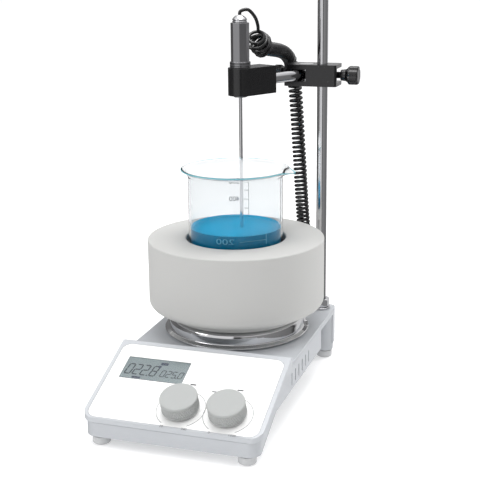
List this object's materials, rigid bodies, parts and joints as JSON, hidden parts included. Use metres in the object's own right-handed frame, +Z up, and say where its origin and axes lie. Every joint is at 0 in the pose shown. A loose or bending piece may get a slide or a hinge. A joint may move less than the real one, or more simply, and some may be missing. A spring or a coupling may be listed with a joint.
{
  "type": "magnetic stirrer",
  "caption": "Bench magnetic stirrer with a round hot plate, insulating jacket, beaker of blue liquid, sloping control panel, rod stand and a clamped temperature probe on a curly cord.",
  "frame": {"origin": "on the bench, under the middle of the object's box without the probe cord", "axes": "+Z up, -Y towards the control panel, +X to the right of someone facing the panel"},
  "size_m": [0.1779, 0.3033, 0.4],
  "materials": {
    "paint": "satin grey paint",
    "bezel": "satin grey",
    "label": "semi-gloss white film",
    "display_clear": "clear window",
    "display": "grey liquid-crystal display",
    "knob": "light grey, knurled sides",
    "foot": "light grey rubber",
    "black": "satin black",
    "steel": "fine turned",
    "polished": "polished stainless",
    "aluminium": "machined",
    "jacket": "fine matte, light grey",
    "glass": "clear borosilicate glass",
    "liquid": "clear blue liquid",
    "board": "green circuit board",
    "heater": "mica",
    "magnet": "nickel plated",
    "ptfe": "smooth white",
    "cord": "satin black"
  },
  "bodies": {
    "housing": {"base_housing": "paint", "bottom_plate": "aluminium", "top_cover": "paint", "front_bezel": "bezel", "panel_label": "label", "display_window": "display_clear", "display_module": "display", "rear_panel": "aluminium", "power_inlet": "black", "fuse_holder": "black", "sensor_socket": "steel", "switch_frame": "black", "foot_front_left": "foot", "foot_front_right": "foot", "foot_rear_left": "foot", "foot_rear_right": "foot", "hot_plate": "polished", "heating_element": "heater", "insulation_disc": "ptfe", "motor_bracket": "aluminium", "motor_housing": "aluminium", "power_board": "board", "power_transformer": "black", "control_board": "board", "heat_encoder_body": "black", "stir_encoder_body": "black", "stand_rod": "steel", "rod_washer": "steel", "rod_nut": "steel", "vessel_block": "aluminium", "sensor_plug": "steel", "cord_tail": "cord", "cord_coil_lower": "cord"},
    "rotor": {"motor_shaft": "steel", "magnet_carrier": "aluminium", "magnet_left": "magnet", "magnet_right": "magnet"},
    "heat_press": {"heat_encoder_plunger": "steel"},
    "heat_dial": {"heat_encoder_shaft": "steel", "heat_knob": "knob"},
    "stir_press": {"stir_encoder_plunger": "steel"},
    "stir_dial": {"stir_encoder_shaft": "steel", "stir_knob": "knob"},
    "rocker": {"power_switch": "black"},
    "jacket": {"insulating_jacket": "jacket"},
    "vessel": {"beaker": "glass", "liquid": "liquid"},
    "stirring_bar": {"stir_bar": "ptfe"},
    "clamp": {"boss_head": "black", "cord_coil_upper": "cord"},
    "clamp_screw": {"clamp_thumbscrew": "black"},
    "lock_screw": {"arm_lock_screw": "black"},
    "arm": {"swivel_barrel": "steel", "support_arm": "steel", "sensor_holder": "black", "cord_bunch": "cord"},
    "probe": {"probe_handle": "black", "probe_stem": "steel", "probe_cap": "steel", "cord_loop": "cord"}
  },
  "joints": [
    {"name": "motor_spin", "type": "hinge", "parent": "housing", "child": "rotor", "pos_m": [-0.00995, 0.044, 0.045], "axis": [0, 0, 1], "continuous": true},
    {"name": "heat_knob_press", "type": "slide", "parent": "housing", "child": "heat_press", "axis": [0, 0.3665, -0.9304], "range_m": [0, 0.001], "stiffness_N_per_m": 400, "springref_m": -0.0005},
    {"name": "heat_knob_turn", "type": "hinge", "parent": "heat_press", "child": "heat_dial", "pos_m": [-0.00665, -0.11062, 0.03499], "axis": [0, -0.3665, 0.9304], "continuous": true},
    {"name": "stir_knob_press", "type": "slide", "parent": "housing", "child": "stir_press", "axis": [0, 0.3665, -0.9304], "range_m": [0, 0.001], "stiffness_N_per_m": 400, "springref_m": -0.0005},
    {"name": "stir_knob_turn", "type": "hinge", "parent": "stir_press", "child": "stir_dial", "pos_m": [0.03365, -0.11062, 0.03499], "axis": [0, -0.3665, 0.9304], "continuous": true},
    {"name": "power_switch_rock", "type": "hinge", "parent": "housing", "child": "rocker", "pos_m": [-0.00195, 0.1234, 0.032], "axis": [1, 0, 0], "range_deg": [0, 10]},
    {"name": "jacket_lift", "type": "slide", "parent": "housing", "child": "jacket", "axis": [0, 0, 1], "range_m": [0, 0.045]},
    {"name": "beaker_lift", "type": "slide", "parent": "housing", "child": "vessel", "axis": [0, 0, 1], "range_m": [0, 0.02]},
    {"name": "stir_bar_spin", "type": "hinge", "parent": "vessel", "child": "stirring_bar", "pos_m": [-0.00995, 0.044, 0.09], "axis": [0, 0, 1], "continuous": true},
    {"name": "clamp_height", "type": "slide", "parent": "housing", "child": "clamp", "axis": [0, 0, 1], "range_m": [-0.018, 0.06], "deforming": ["cord_coil_lower", "liquid"]},
    {"name": "clamp_screw_turn", "type": "hinge", "parent": "clamp", "child": "clamp_screw", "pos_m": [0.0723, 0.1179, 0.2796], "axis": [1, 0, 0], "range_deg": [0, 360]},
    {"name": "lock_screw_turn", "type": "hinge", "parent": "clamp", "child": "lock_screw", "pos_m": [0.017, 0.1179, 0.283], "axis": [-1, 0, 0], "range_deg": [0, 360]},
    {"name": "arm_swing", "type": "hinge", "parent": "clamp", "child": "arm", "pos_m": [0.037, 0.1179, 0.2796], "axis": [0, 0, 1], "range_deg": [-12, 12], "deforming": ["cord_coil_upper", "cord_bunch"]},
    {"name": "probe_height", "type": "slide", "parent": "arm", "child": "probe", "axis": [0, 0, 1], "range_m": [0, 0.04]}
  ],
  "couplings": [
    {"joint": "stir_bar_spin", "follows": "motor_spin", "ratio": 1}
  ]
}
